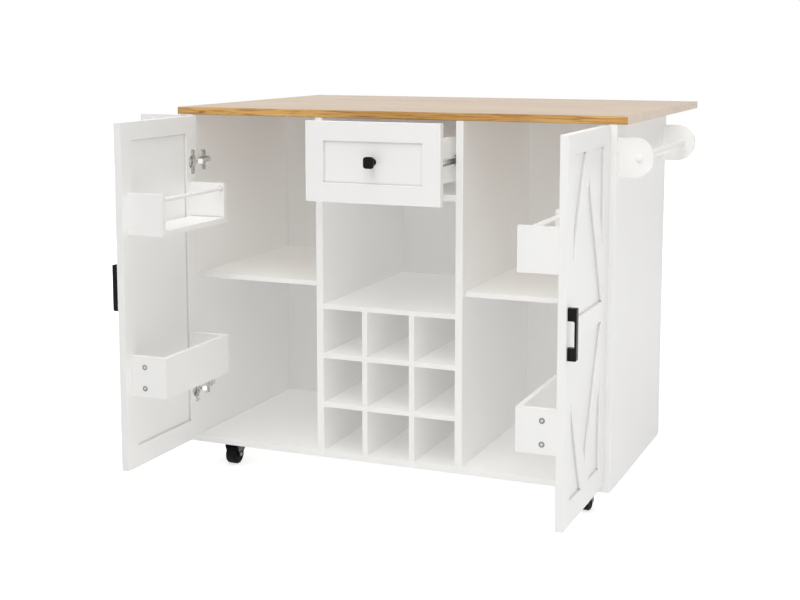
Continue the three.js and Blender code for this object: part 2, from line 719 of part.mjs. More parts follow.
// The link is drawn shut, from its pin towards the door's free edge. Its tip
// bends down to the cup's rim.
function hingeLink() {
  const low = NOSE_R - 1.4;
  const high = low + NOSE_R;
  const half = LINK_H / 2;
  const link = new THREE.Shape();
  link.absarc(0, 0, NOSE_R, QUARTER, 4 * QUARTER);
  link.lineTo(NOSE_R + 0.6, low);
  link.lineTo(LINK_L - 1.5, low);
  link.lineTo(LINK_L - 1.5, -LINK_TIP);
  link.lineTo(LINK_L, -LINK_TIP);
  link.lineTo(LINK_L, high - 1);
  link.lineTo(LINK_L - 1, high);
  link.lineTo(NOSE_R, high);
  return cut(
    extruded(link, 'xy', [-half, half]),
    rod(PIN_R + CLEAR, 'z', [0, 0], [-half - 1, half + 1], 12),
  );
}

// ---------------------------------------------------------------- side fittings
const FITTING_ENDS = [
  [SETBACK, SETBACK + FITTING_T],
  [INNER_D - FITTING_T, INNER_D],
];

// A bar let into both end boards, with narrower ends that show as buttons.
function fittingBar(radius, centre) {
  const [front, back] = [FITTING_ENDS[0][0], FITTING_ENDS[1][1]];
  return joined(
    rod(radius, 'y', centre, [front + 4, back - 4], 24),
    rod(radius - 2, 'y', centre, [front - NUB, back + NUB], 24),
  );
}

function addTowelRack() {
  const r = TOWEL_H / 2;
  const middle = TOP_Z - TOWEL_DOWN - r;
  const shape = new THREE.Shape();
  shape.moveTo(HALF_OUT, middle + r);
  shape.lineTo(HALF_OUT, middle - r);
  shape.absarc(HALF_OUT + TOWEL_OUT - r, middle, r, -QUARTER, QUARTER);
  const ends = FITTING_ENDS.map((y) => extruded(shape, 'xz', y, 20));
  const rail = fittingBar(TOWEL_BAR_R, [HALF_OUT + TOWEL_BAR_OUT, middle]);
  put(island, 'towel_rack', joined(...ends, rail), WHITE);
}

function addSideTray() {
  const x = [-HALF_OUT - TRAY_OUT, -HALF_OUT];
  const high = TOP_Z - TRAY_DOWN;
  const low = high - TRAY_H;
  const ends = FITTING_ENDS.map((y) => box(x, y, [low, high]));
  const floor = box(x, [SETBACK + 8, INNER_D - 8], [low, low + BOARD_T]);
  const rail = fittingBar(TRAY_RAIL_R, [-HALF_OUT - TRAY_RAIL_OUT, high - TRAY_RAIL_DOWN]);
  put(island, 'side_tray', joined(...ends, floor, rail), WHITE);
}

// ---------------------------------------------------------------- casters
// Drawn about the stem, with z from the floor.
function casterFork() {
  const crown = WHEEL_R * 2 + 3;
  const side = new THREE.Shape();
  side.moveTo(CROWN_BACK, crown + 3);
  side.lineTo(-TRAIL - CHEEK_REACH, crown + 3);
  side.lineTo(-TRAIL - CHEEK_REACH, crown - 7);
  side.absarc(-TRAIL, WHEEL_R, 8, 1.9 * QUARTER, 3.7 * QUARTER);
  side.lineTo(CROWN_BACK, crown - 6);
  const near = WHEEL_W / 2 + 1;
  const far = near + CHEEK_T;
  // Swivel head: a race under a flange, then the stem.
  const high = CASTER_H - CLEAR;
  const head = lathed([
    [0, crown + 2], [15, crown + 2], [15, crown + 7], [11, crown + 9], [11, high - 5],
    [16, high - 3], [16, high], [STEM_R, high], [STEM_R, CASTER_H + STEM_L], [0, CASTER_H + STEM_L],
  ], TURNED_SIDES);
  head.rotateX(QUARTER);
  return joined(
    cheeks(side, 0, near, far),
    box([-far, far], [-TRAIL - CHEEK_REACH, CROWN_BACK], [crown, crown + 3]),
    solid(head),
    rod(AXLE_R, 'x', [-TRAIL, WHEEL_R], [-far - 1.5, far + 1.5]),
  );
}

function casterWheel() {
  const half = WHEEL_W / 2;
  const bore = AXLE_R + CLEAR;
  const side = [
    [bore, half], [bore + 5, half], [bore + 6, half - 2], [WHEEL_R - 6, half - 2],
    [WHEEL_R - 4, half], [WHEEL_R - 2.5, half], [WHEEL_R, half - 3],
  ];
  const profile = [...side.map(([r, w]) => [r, -w]), ...side.reverse()];
  const wheel = lathed([...profile, profile[0]], WHEEL_SIDES);
  wheel.rotateZ(QUARTER);
  return solid(wheel);
}

function addCasters() {
  for (const [side, sign] of SIGNS) {
    ['front', 'back'].forEach((row, i) => {
      const caster = new THREE.Group();
      caster.position.set(sign * CASTER_X, CASTER_Y[i], 0);
      const axle = new THREE.Group();
      axle.position.set(0, -TRAIL, WHEEL_R);
      caster.add(axle);
      island.add(caster);
      put(caster, `caster_fork_${row}_${side}`, casterFork(), STEEL);
      put(axle, `caster_wheel_${row}_${side}`, casterWheel(), RUBBER);
    });
  }
}

// ---------------------------------------------------------------- island
addCarcass();
addBottleRack();
addTop();
addDrawer();
DOORS.forEach(addDoor);
addTowelRack();
addSideTray();
addCasters();

// The origin is the middle of the footprint, on the floor.
const bounds = new THREE.Box3().setFromObject(island);
island.position.set(
  -(bounds.min.x + bounds.max.x) / 2,
  -(bounds.min.y + bounds.max.y) / 2,
  -bounds.min.z,
);

export default island;
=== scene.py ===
import math

import bmesh
import bpy
from mathutils import Matrix, Vector


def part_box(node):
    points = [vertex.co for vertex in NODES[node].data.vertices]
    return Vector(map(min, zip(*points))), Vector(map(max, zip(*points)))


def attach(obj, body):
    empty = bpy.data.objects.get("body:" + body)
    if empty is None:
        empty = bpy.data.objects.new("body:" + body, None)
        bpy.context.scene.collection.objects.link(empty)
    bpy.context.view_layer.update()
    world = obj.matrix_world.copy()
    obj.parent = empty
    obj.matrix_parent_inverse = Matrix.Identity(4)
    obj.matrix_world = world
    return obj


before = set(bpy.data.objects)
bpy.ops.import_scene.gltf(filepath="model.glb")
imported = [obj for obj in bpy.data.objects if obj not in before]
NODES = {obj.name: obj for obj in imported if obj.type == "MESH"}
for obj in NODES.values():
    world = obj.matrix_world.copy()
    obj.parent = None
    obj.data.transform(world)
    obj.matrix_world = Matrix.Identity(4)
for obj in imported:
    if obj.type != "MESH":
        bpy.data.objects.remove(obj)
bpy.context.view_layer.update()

# Kitchen island with braced doors, a drawer, a bottle rack and a drop leaf. The
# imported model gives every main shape; this script gives finishes, softened edges,
# screws and other small fittings, and the camera, light and floor. Metres.

MM = 0.001
SIDES = (("left", -1), ("right", 1))
LEVELS = ("lower", "upper")
CASTERS = [f"{row}_{side}" for row in ("front", "back") for side in ("left", "right")]


# ------------------------------------------------------------------ shader tools
def node(tree, kind, inputs=None, **settings):
    """Adds a shader node; an input is given as a value or as another node's output."""
    made = tree.nodes.new("ShaderNode" + kind)
    for key, value in settings.items():
        setattr(made, key, value)
    for key, value in (inputs or {}).items():
        if isinstance(value, bpy.types.NodeSocket):
            tree.links.new(value, made.inputs[key])
        else:
            made.inputs[key].default_value = value
    return made


def material(name, **constants):
    """A Principled material; constants are set on the shader's own sockets."""
    mat = bpy.data.materials.new(name)
    mat.use_nodes = True
    shader = mat.node_tree.nodes["Principled BSDF"]
    for key, value in constants.items():
        shader.inputs[key.replace("_", " ")].default_value = value
    return mat, mat.node_tree, shader


def place(tree, scale):
    """Object coordinates, stretched: these patterns stay on the piece as it moves."""
    coords = node(tree, "TexCoord").outputs["Object"]
    return node(tree, "Mapping", {"Vector": coords, "Scale": scale}).outputs["Vector"]


def noise(tree, vector, detail, rough=0.5, distortion=0.0):
    """Noise from 0 to 1; its scale is that of the vector."""
    inputs = {
        "Vector": vector,
        "Scale": 1.0,
        "Detail": detail,
        "Roughness": rough,
        "Distortion": distortion,
    }
    return node(tree, "TexNoise", inputs).outputs["Fac"]


def ramp(tree, value, *stops):
    """Colour ramp from (position, colour) stops."""
    made = node(tree, "ValToRGB", {"Fac": value})
    points = made.color_ramp.elements
    while len(points) < len(stops):
        points.new(0.5)
    for point, (position, colour) in zip(points, stops):
        point.position = position
        point.color = (*colour, 1.0)
    return made.outputs["Color"]


def span(tree, value, low, high, to_low=0.0, to_high=1.0):
    """Maps the range low to high onto the range to_low to to_high, and holds it there."""
    inputs = {
        "Value": value,
        "From Min": low,
        "From Max": high,
        "To Min": to_low,
        "To Max": to_high,
    }
    return node(tree, "MapRange", inputs).outputs["Result"]


def mix(tree, factor, first, second, blend="MIX"):
    """Mixes two colours, each given as a value or as another node's output."""
    made = node(tree, "Mix", data_type="RGBA", blend_type=blend)
    for index, value in ((0, factor), (6, first), (7, second)):
        if isinstance(value, bpy.types.NodeSocket):
            tree.links.new(value, made.inputs[index])
        elif index:
            made.inputs[index].default_value = (*value, 1.0)
        else:
            made.inputs[index].default_value = value
    return made.outputs[2]


def maths(tree, operation, first, second=0.5):
    """One step of arithmetic; an operation on one value leaves the second unused."""
    made = node(tree, "Math", operation=operation)
    for index, value in enumerate((first, second)):
        if isinstance(value, bpy.types.NodeSocket):
            tree.links.new(value, made.inputs[index])
        else:
            made.inputs[index].default_value = value
    return made.outputs[0]


def bump(tree, shader, height, strength, distance):
    """Fine surface texture, too small to be geometry."""
    inputs = {"Height": height, "Strength": strength, "Distance": distance}
    made = node(tree, "Bump", inputs)
    tree.links.new(made.outputs["Normal"], shader.inputs["Normal"])


def painted_crevice_shade(tree, colour, shade_colour, reach, strength):
    """Paints shade into the inner corners of a piece's own relief, as its ambient occlusion
    finds them.
    """
    made = node(tree, "AmbientOcclusion", {"Distance": reach}, samples=6, only_local=True)
    closed, clear = 0.5, 0.92
    depth = span(tree, made.outputs["AO"], closed, clear, strength, 0.0)
    return mix(tree, depth, colour, shade_colour)


# ------------------------------------------------------------------ finishes
# Colour and reach of the painted shade in inner corners, on paint and on plate.
PAINT_CORNER_SHADE = (0.40, 0.385, 0.36)
PAINT_REACH = 6 * MM
PLATE_CORNER_SHADE = (0.05, 0.05, 0.05)
PLATE_REACH = 4 * MM
BARE_ZINC = (0.13, 0.13, 0.128)
STAVE_LENGTH = 0.46
STAVE_WIDTH = 0.065
STAVE_JOINT = 0.00035


def paint(name, colour, shade, gloss, texture, corners=0.0):
    """Satin white: a faint unevenness of tone, a pearled surface and fine specks."""
    mat, tree, shader = material(name)
    broad = noise(tree, place(tree, (2.2, 2.2, 1.4)), detail=3.0)
    fine = noise(tree, place(tree, (texture, texture, texture)), detail=2.0)
    tone = mix(tree, span(tree, broad, 0.3, 0.7), shade, colour)
    specks = span(tree, fine, 0.68, 0.8, 0.0, 0.05)
    coat = mix(tree, specks, tone, shade, "MULTIPLY")
    # Painted shade in the inner corners of the piece's relief, as strong as corners asks.
    if corners:
        coat = painted_crevice_shade(tree, coat, PAINT_CORNER_SHADE, PAINT_REACH, corners)
    tree.links.new(coat, shader.inputs["Base Color"])
    tree.links.new(span(tree, fine, 0.25, 0.75, *gloss), shader.inputs["Roughness"])
    bump(tree, shader, fine, 0.12, 0.0002)
    return mat


def oak(name, shift):
    """Oiled oak staves: tone from stave to stave, growth rings, streaks and pores."""
    mat, tree, shader = material(name, Coat_Weight=0.4, Coat_Roughness=0.2)
    coords = node(tree, "TexCoord").outputs["Object"]
    placed = node(tree, "Mapping", {"Vector": coords, "Location": shift}).outputs["Vector"]
    staves = node(tree, "TexBrick", {
        "Vector": placed,
        "Color1": (0, 0, 0, 1),
        "Color2": (1, 1, 1, 1),
        "Mortar": (0.5, 0.5, 0.5, 1),
        "Scale": 1.0,
        "Mortar Size": STAVE_JOINT,
        "Mortar Smooth": 0.4,
        "Bias": 0.0,
        "Brick Width": STAVE_LENGTH,
        "Row Height": STAVE_WIDTH,
    }, offset=0.37, offset_frequency=2)
    stave = node(tree, "SeparateColor", {"Color": staves.outputs["Color"]}).outputs[0]
    # Each stave takes its grain from another part of the pattern.
    jump = node(tree, "CombineXYZ", {"X": maths(tree, "MULTIPLY", stave, 7.3),
                                     "Y": maths(tree, "MULTIPLY", stave, 3.1)})
    own = node(tree, "VectorMath", {0: placed, 1: jump.outputs[0]}, operation="ADD").outputs[0]

    def stretched(scale):
        return node(tree, "Mapping", {"Vector": own, "Scale": scale}).outputs["Vector"]

    def stained(colour, value, low, high, strength, stain):
        """Multiplies the colour by a stain, more of it from low to high."""
        return mix(tree, span(tree, value, low, high, 0.0, strength), colour, stain, "MULTIPLY")

    rings = noise(tree, stretched((0.6, 11, 11)), detail=2.0, distortion=0.2)
    bands = maths(tree, "PINGPONG", maths(tree, "MULTIPLY", rings, 13.0), 1.0)
    streaks = noise(tree, stretched((5, 190, 190)), detail=4.0, rough=0.6)
    pores = noise(tree, stretched((34, 900, 900)), detail=2.0)
    broad = noise(tree, stretched((2.4, 9, 9)), detail=3.0)
    grain = maths(tree, "ADD", maths(tree, "MULTIPLY", bands, 0.34),
                  maths(tree, "MULTIPLY", streaks, 0.66))
    wood = ramp(
        tree, grain,
        (0.16, (0.40, 0.19, 0.040)),
        (0.38, (0.56, 0.292, 0.068)),
        (0.60, (0.66, 0.375, 0.100)),
        (0.84, (0.74, 0.46, 0.150)),
    )
    warm = stained(wood, broad, 0.35, 0.7, 0.5, (0.80, 0.58, 0.38))
    tinted = stained(warm, stave, 0.0, 1.0, 0.28, (0.86, 0.74, 0.60))
    dark = stained(tinted, pores, 0.60, 0.74, 0.5, (0.42, 0.28, 0.17))
    flecks = noise(tree, stretched((22, 75, 75)), detail=1.0)
    marked = stained(dark, flecks, 0.70, 0.76, 0.75, (0.33, 0.2, 0.12))
    joint = maths(tree, "MULTIPLY", staves.outputs["Fac"], 0.45)
    board = mix(tree, joint, marked, (0.25, 0.13, 0.06))
    # Painted shade and sheen grey the broad faces, painted light gilds the sawn long edges; the
    # ends are paler.
    turn = node(tree, "SeparateXYZ", {"Vector": node(tree, "TexCoord").outputs["Normal"]})
    face = span(tree, maths(tree, "ABSOLUTE", turn.outputs["Z"]), 0.4, 0.9)
    end = span(tree, maths(tree, "ABSOLUTE", turn.outputs["X"]), 0.4, 0.9, 0.0, 0.6)
    edge = span(tree, maths(tree, "ABSOLUTE", turn.outputs["Y"]), 0.4, 0.9)
    sawn = noise(tree, stretched((9, 50, 260)), detail=3.0, rough=0.6)
    lines = maths(tree, "MULTIPLY", edge, span(tree, sawn, 0.50, 0.64, 0.0, 0.85))
    lit_edges = mix(tree, edge, board, (1.08, 1.12, 1.04), "MULTIPLY")
    edged = mix(tree, lines, lit_edges, (0.42, 0.27, 0.14), "MULTIPLY")
    shaded_faces = mix(tree, face, edged, (0.64, 0.70, 0.84), "MULTIPLY")
    tree.links.new(mix(tree, end, shaded_faces, (0.60, 0.53, 0.44)), shader.inputs["Base Color"])
    tree.links.new(span(tree, streaks, 0.3, 0.7, 0.30, 0.42), shader.inputs["Roughness"])
    height = maths(tree, "SUBTRACT", span(tree, streaks, 0.2, 0.8),
                   maths(tree, "MULTIPLY", span(tree, pores, 0.58, 0.72), 0.8))
    bump(tree, shader, height, 0.22, 0.0003)
    return mat


def coated(name, colour, rough, grain, specular=0.5, head=None):
    """Powder coat, moulded plastic or rubber: fine peel and slightly paler clouds.

    A head is a point on the piece: what lies above and behind it is bare zinc.
    """
    mat, tree, shader = material(name, Specular_IOR_Level=specular)
    peel = noise(tree, place(tree, (grain,) * 3), detail=3.0)
    broad = noise(tree, place(tree, (28,) * 3), detail=2.0)
    pale = tuple(min(1.0, 1.9 * c + 0.003) for c in colour)
    shade = mix(tree, span(tree, broad, 0.35, 0.8, 0.0, 0.6), colour, pale)
    if head:
        at = node(tree, "SeparateXYZ", {"Vector": node(tree, "TexCoord").outputs["Object"]})
        above = maths(tree, "GREATER_THAN", at.outputs["Z"], head.z)
        behind = maths(tree, "GREATER_THAN", at.outputs["Y"], head.y)
        shade = mix(tree, maths(tree, "MULTIPLY", above, behind), shade, BARE_ZINC)
    roughness = span(tree, peel, 0.3, 0.7, rough - 0.06, rough + 0.08)
    tree.links.new(shade, shader.inputs["Base Color"])
    tree.links.new(roughness, shader.inputs["Roughness"])
    bump(tree, shader, peel, 0.25, 0.0002)
    return mat


def plated(name, colour, rough, brushed, metal=1.0):
    """Nickel or zinc plate with faint rolling marks along one direction."""
    mat, tree, shader = material(name, Metallic=metal)
    marks = noise(tree, place(tree, brushed), detail=3.0)
    cloud = noise(tree, place(tree, (35,) * 3), detail=2.0)
    dull = tuple(0.72 * c for c in colour)
    shade = mix(tree, span(tree, cloud, 0.3, 0.75), colour, dull)
    # Painted shade in the inner corners of the piece.
    shade = painted_crevice_shade(tree, shade, PLATE_CORNER_SHADE, PLATE_REACH, 0.8)
    roughness = span(tree, marks, 0.25, 0.75, rough - 0.07, rough + 0.1)
    tree.links.new(shade, shader.inputs["Base Color"])
    tree.links.new(roughness, shader.inputs["Roughness"])
    bump(tree, shader, marks, 0.1, 0.0001)
    return mat


CARCASS_WHITE = paint("carcass_white", (0.915, 0.908, 0.892), (0.895, 0.888, 0.872),
                      (0.36, 0.5), 700)
# The door finish carries painted shade in the inner corners of its relief.
DOOR_WHITE = paint("door_white", (0.905, 0.899, 0.884), (0.885, 0.879, 0.864),
                   (0.3, 0.42), 1000, corners=0.65)
TOP_OAK = oak("top_oak", (0.0, 0.0, 0.0))
LEAF_OAK = oak("leaf_oak", (0.19, 0.0, 0.0))
BLACK_COAT = coated("black_coat", (0.003, 0.003, 0.003), 0.34, 900, 0.12)
# On the casters' forks zinc shows behind this distance from the front and above this
# level over the floor.
FORK = NODES["caster_fork_front_left"]
ZINC_BACK, ZINC_LEVEL = 8 * MM, 33 * MM
FORK_HEAD = FORK.matrix_world.inverted() @ Vector(
    (0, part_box(FORK.name)[0].y + ZINC_BACK, ZINC_LEVEL))
BLACK_PLASTIC = coated("black_plastic", (0.003, 0.003, 0.0032), 0.48, 1500, 0.12, FORK_HEAD)
TREAD = coated("tread_rubber", (0.004, 0.004, 0.0043), 0.62, 700, 0.12)
NICKEL = plated("nickel", (0.86, 0.855, 0.84), 0.24, (300, 300, 40), 0.7)
POLISHED = plated("polished_nickel", (0.86, 0.86, 0.85), 0.22, (300, 300, 40), 0.8)
ZINC = plated("zinc", (0.66, 0.665, 0.67), 0.34, (60, 420, 420))
GREY_CAP = coated("grey_cap", (0.22, 0.22, 0.22), 0.5, 800)
PALE_CAP = coated("pale_cap", (0.62, 0.62, 0.61), 0.45, 800)

SLOT_FINISH = {
    "cabinet_paint": CARCASS_WHITE,
    "door_paint": DOOR_WHITE,
    "top_wood": TOP_OAK,
    "leaf_wood": LEAF_OAK,
    "black_metal": BLACK_COAT,
    "hardware_steel": NICKEL,
    "caster_metal": BLACK_PLASTIC,
    "caster_wheel": TREAD,
}


# ------------------------------------------------------------------ CAD nodes
WELD_DISTANCE = 0.01 * MM
ROUND_ANGLE = math.radians(32)
BEVEL_ANGLE = math.radians(38)


def geometry_group(name):
    """An empty geometry nodes group, with its input and its output."""
    tree = bpy.data.node_groups.new(name, "GeometryNodeTree")
    for way in ("INPUT", "OUTPUT"):
        tree.interface.new_socket("Geometry", in_out=way, socket_type="NodeSocketGeometry")
    return tree, tree.nodes.new("NodeGroupInput"), tree.nodes.new("NodeGroupOutput")


def welding_group():
    """Geometry nodes that weld a faceted solid, so that a bevel can follow its edges."""
    tree, start, end = geometry_group("weld_facets")
    merge = tree.nodes.new("GeometryNodeMergeByDistance")
    merge.inputs["Distance"].default_value = WELD_DISTANCE
    tree.links.new(start.outputs[0], merge.inputs["Geometry"])
    last = merge.outputs["Geometry"]
    for name in ("custom_normal", "sharp_face", "sharp_edge"):
        drop = tree.nodes.new("GeometryNodeRemoveAttribute")
        drop.inputs["Name"].default_value = name
        tree.links.new(last, drop.inputs["Geometry"])
        last = drop.outputs["Geometry"]
    tree.links.new(last, end.inputs[0])
    return tree


def smoothing_group(limit):
    """Geometry nodes that shade smooth across every edge flatter than the limit."""
    tree, start, end = geometry_group("smooth_rounds")
    faces = tree.nodes.new("GeometryNodeSetShadeSmooth")
    faces.domain = "FACE"
    edges = tree.nodes.new("GeometryNodeSetShadeSmooth")
    edges.domain = "EDGE"
    edges.inputs["Shade Smooth"].default_value = False
    angle = tree.nodes.new("GeometryNodeInputMeshEdgeAngle")
    steep = tree.nodes.new("FunctionNodeCompare")
    steep.operation = "GREATER_THAN"
    steep.inputs[1].default_value = limit
    tree.links.new(angle.outputs["Unsigned Angle"], steep.inputs[0])
    tree.links.new(steep.outputs[0], edges.inputs["Selection"])
    tree.links.new(start.outputs[0], faces.inputs["Geometry"])
    tree.links.new(faces.outputs["Geometry"], edges.inputs["Geometry"])
    tree.links.new(edges.outputs["Geometry"], end.inputs[0])
    return tree


WELD = welding_group()
SMOOTH = smoothing_group(ROUND_ANGLE)


def add_nodes(obj, name, group):
    obj.modifiers.new(name, "NODES").node_group = group


def soften(obj, width):
    """Breaks the hard edges of a piece a little, so that they catch the light."""
    add_nodes(obj, "weld", WELD)
    edge = obj.modifiers.new("edge", "BEVEL")
    edge.width = width
    edge.segments = 1
    edge.limit_method = "ANGLE"
    edge.angle_limit = BEVEL_ANGLE
    edge.use_clamp_overlap = True
    add_nodes(obj, "shade", SMOOTH)
    flat = obj.modifiers.new("flat_faces", "WEIGHTED_NORMAL")
    flat.mode = "FACE_AREA_WITH_ANGLE"
    flat.weight = 100
    flat.keep_sharp = True


# Width of the broken edges in millimetres; a node takes the first name it starts with.
EDGE_WIDTHS = (
    ("door_pull", 0.8), ("door_rack", 1.0), ("door_", 0.6), ("drawer_front", 0.7),
    ("drawer_knob", 0.3), ("drawer_box", 0.8), ("hinge_", 0.25), ("leaf_bracket", 0.35),
    ("slide_", 0.3), ("caster_wheel", 0.8), ("caster_fork", 0.4), ("main_top", 0.8),
    ("drop_leaf", 0.8), ("towel_rack", 1.2), ("side_tray", 1.0), ("", 0.7),
)


def dress_nodes():
    """Gives every CAD node its finish and its broken edges."""
    for name, obj in NODES.items():
        for material_slot in obj.material_slots:
            finish = SLOT_FINISH.get(material_slot.material.name.split(".")[0])
            if name.startswith("hinge_link"):
                finish = POLISHED
            if finish:
                material_slot.material = finish
        width = next(w for start, w in EDGE_WIDTHS if name.startswith(start))
        soften(obj, width * MM)


dress_nodes()


# ------------------------------------------------------------------ small fittings
RING_SIDES = 24


def piece(name, mesh_maker, finish, body):
    """A new piece made by a bmesh function, riding on a CAD body."""
    bm = bmesh.new()
    mesh_maker(bm)
    bmesh.ops.recalc_face_normals(bm, faces=bm.faces[:])
    mesh = bpy.data.meshes.new(name)
    bm.to_mesh(mesh)
    bm.free()
    obj = bpy.data.objects.new(name, mesh)
    bpy.context.scene.collection.objects.link(obj)
    mesh.materials.append(finish)
    add_nodes(obj, "shade", SMOOTH)
    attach(obj, body)


def facing(point, out):
    """Matrix whose Z axis points out of a surface at a point."""
    z = Vector(out).normalized()
    x = Vector((0, 0, 1)).cross(z)
    if x.length < 1e-6:
        x = Vector((1, 0, 0))
    x.normalize()
    y = z.cross(x)
    turn = Matrix((x, y, z)).transposed().to_4x4()
    return Matrix.Translation(Vector(point)) @ turn


def ring(bm, radius, height, matrix):
    """A circle of vertices round a matrix's Z axis."""
    return [
        bm.verts.new(matrix @ Vector((radius * math.cos(a), radius * math.sin(a), height)))
        for a in (2 * math.pi * i / RING_SIDES for i in range(RING_SIDES))
    ]


def bridge(bm, first, second):
    """Quads between two loops of equally many vertices."""
    count = len(first)
    for i in range(count):
        bm.faces.new((first[i], first[(i + 1) % count], second[(i + 1) % count], second[i]))


def skin(bm, rings):
    """Sides over a row of loops, with a face on the first one."""
    for first, second in zip(rings, rings[1:]):
        bridge(bm, first, second)
    bm.faces.new(rings[0])


def turned(bm, matrix, profile):
    """A closed turned form from (radius, height) pairs in mm; its ends are flat discs."""
    rings = [ring(bm, r * MM, h * MM, matrix) for r, h in profile]
    skin(bm, rings)
    bm.faces.new(rings[-1])


def screw(bm, matrix, radius, height):
    """A pan-head screw with a cross recess, seated on a surface."""
    rise = [(1.0, 0.0), (1.0, 0.35), (0.93, 0.68), (0.78, 0.9), (0.6, 1.0)]
    rings = [ring(bm, radius * r, height * h, matrix) for r, h in rise]
    skin(bm, rings)
    top = rings[-1]
    arm, half = 0.48 * radius, 0.12 * radius
    cross = [
        (arm, half), (half, half), (half, arm), (-half, arm), (-half, half), (-arm, half),
        (-arm, -half), (-half, -half), (-half, -arm), (half, -arm), (half, -half), (arm, -half),
    ]
    depth = 0.45 * height

    def loop(level, share=1.0):
        return [bm.verts.new(matrix @ Vector((share * x, share * y, level))) for x, y in cross]

    rim, floor = loop(height), loop(height - depth, 0.8)
    edges = [bm.edges.get((top[i], top[(i + 1) % len(top)])) for i in range(len(top))]
    edges += [bm.edges.new((rim[i], rim[(i + 1) % len(rim)])) for i in range(len(rim))]
    bmesh.ops.triangle_fill(bm, use_beauty=True, use_dissolve=False, edges=edges)
    bridge(bm, rim, floor)
    bm.faces.new(floor)


def screws(name, seats, radius, height, finish, body):
    """Several equal screws as one piece; seats are (point, outward direction)."""
    def build(bm):
        for point, out in seats:
            screw(bm, facing(point, out), radius, height)
    piece(name, build, finish, body)


def plate(bm, matrix, long, tall, thick, corner):
    """A flat plate with rounded corners and a chamfered rim, seated on a surface."""
    steps = 4
    outline = []
    for quarter, (x, y) in enumerate(((1, 1), (-1, 1), (-1, -1), (1, -1))):
        for i in range(steps + 1):
            angle = math.pi / 2 * (quarter + i / steps)
            outline.append((x * (long / 2 - corner) + corner * math.cos(angle),
                            y * (tall / 2 - corner) + corner * math.sin(angle)))
    rings = [
        [bm.verts.new(matrix @ Vector((share * x, share * y, level))) for x, y in outline]
        for share, level in ((1.0, 0.0), (1.0, 0.6 * thick), (0.94, thick))
    ]
    skin(bm, rings)
    bm.faces.new(rings[-1])


def middle(name):
    """The middle of a node's box."""
    low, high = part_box(name)
    return (low + high) / 2


# Hinge screws: rises from the hinge's middle, distances ahead of the arm's back end,
# and how far the plate's face and the arm's flat front part stand off the side panel.
CUP_SCREW_RISE = 24 * MM
PLATE_SCREW_RISE = 17.5 * MM
PLATE_SCREW_AHEAD = 27 * MM
PLATE_FACE = 3 * MM
ARM_SCREW_AHEAD = 38 * MM
ARM_FACE = 15 * MM


def hinge_screws():
    """Two screws in each cup flange; two in each mounting plate and one in each arm."""
    for side, sign in SIDES:
        cup_seats, plate_seats, arm_seats = [], [], []
        for level in LEVELS:
            low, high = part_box(f"hinge_cup_{side}_{level}")
            face = low.x if sign > 0 else high.x
            mid = (low + high) / 2
            for step in (-1, 1):
                cup_seats.append(((face, mid.y, mid.z + step * CUP_SCREW_RISE), (-sign, 0, 0)))
            low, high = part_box(f"hinge_arm_{side}_{level}")
            mid = (low + high) / 2
            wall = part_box(f"side_panel_{side}")[0 if sign > 0 else 1].x
            for step in (-1, 1):
                seat = (wall - sign * PLATE_FACE, high.y - PLATE_SCREW_AHEAD,
                        mid.z + step * PLATE_SCREW_RISE)
                plate_seats.append((seat, (-sign, 0, 0)))
            seat = (wall - sign * ARM_FACE, high.y - ARM_SCREW_AHEAD, mid.z)
            arm_seats.append((seat, (-sign, 0, 0)))
        screws(f"hinge_cup_screws_{side}", cup_seats, 3.4 * MM, 1.8 * MM, ZINC,
               f"door_{side}")
        screws(f"hinge_plate_screws_{side}", plate_seats, 3.8 * MM, 2.2 * MM, ZINC,
               "carcass")
        screws(f"hinge_arm_screws_{side}", arm_seats, 2.8 * MM, 1.2 * MM, ZINC,
               "carcass")


COVER_LONG, COVER_TALL, COVER_THICK, COVER_CORNER = 12 * MM, 13 * MM, 1.2 * MM, 2.5 * MM
# Middle of a cover: out from the link's inner face, and behind the link's front end.
COVER_OUT = 3.6 * MM
COVER_BEHIND = 5 * MM


def link_covers():
    """Bright sloped plates on the links between the hinges' cups and arms."""
    for side, sign in SIDES:
        def build(bm):
            for level in LEVELS:
                low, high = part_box(f"hinge_link_{side}_{level}")
                face = low.x if sign > 0 else high.x
                seat = (face - sign * COVER_OUT, low.y + COVER_BEHIND, (low.z + high.z) / 2)
                slope = (-sign * 0.64, -0.77, 0)
                plate(bm, facing(seat, slope), COVER_LONG, COVER_TALL, COVER_THICK, COVER_CORNER)

        piece(f"hinge_link_covers_{side}", build, POLISHED,
              f"hinge_links_{side}")


# Distance from the door, and rises above the rack's foot.
RACK_CAP_OUT = 36 * MM
RACK_CAP_RISES = (21 * MM, 71 * MM)


def rack_caps():
    """Grey cover caps on the outer faces of the lower racks' end boards."""
    rim = [(3.2, 0.2), (3.4, 0.9), (4.0, 1.2), (5.4, 1.2), (6.2, 0.8), (6.4, 0.0)]
    plug = [(3.2, 0.1), (3.2, 0.5), (2.7, 0.8), (1.2, 0.9)]
    for side, sign in SIDES:
        low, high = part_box(f"door_rack_{side}_lower")
        door = high.x if sign > 0 else low.x

        for kind, profile, finish in (("rims", rim, GREY_CAP), ("plugs", plug, PALE_CAP)):
            def build(bm):
                for rise in RACK_CAP_RISES:
                    for y, out in ((low.y, -1), (high.y, 1)):
                        point = (door - sign * RACK_CAP_OUT, y, low.z + rise)
                        turned(bm, facing(point, (0, out, 0)), profile)

            piece(f"rack_cap_{kind}_{side}", build, finish, f"door_{side}")


# Distance from the side panel.
TOWEL_COVER_OUT = 46 * MM


def towel_covers():
    """Domed screw covers on the outer faces of the towel rail's brackets."""
    low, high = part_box("towel_rack")
    bar = low.x + TOWEL_COVER_OUT
    profile = [(8.0, 0.0), (8.0, 1.6), (7.4, 2.6), (5.6, 3.3), (2.6, 3.6)]

    def build(bm):
        for y, out in ((low.y, -1), (high.y, 1)):
            point = (bar, y, (low.z + high.z) / 2)
            turned(bm, facing(point, (0, out, 0)), profile)

    piece("towel_rack_covers", build, DOOR_WHITE, "carcass")


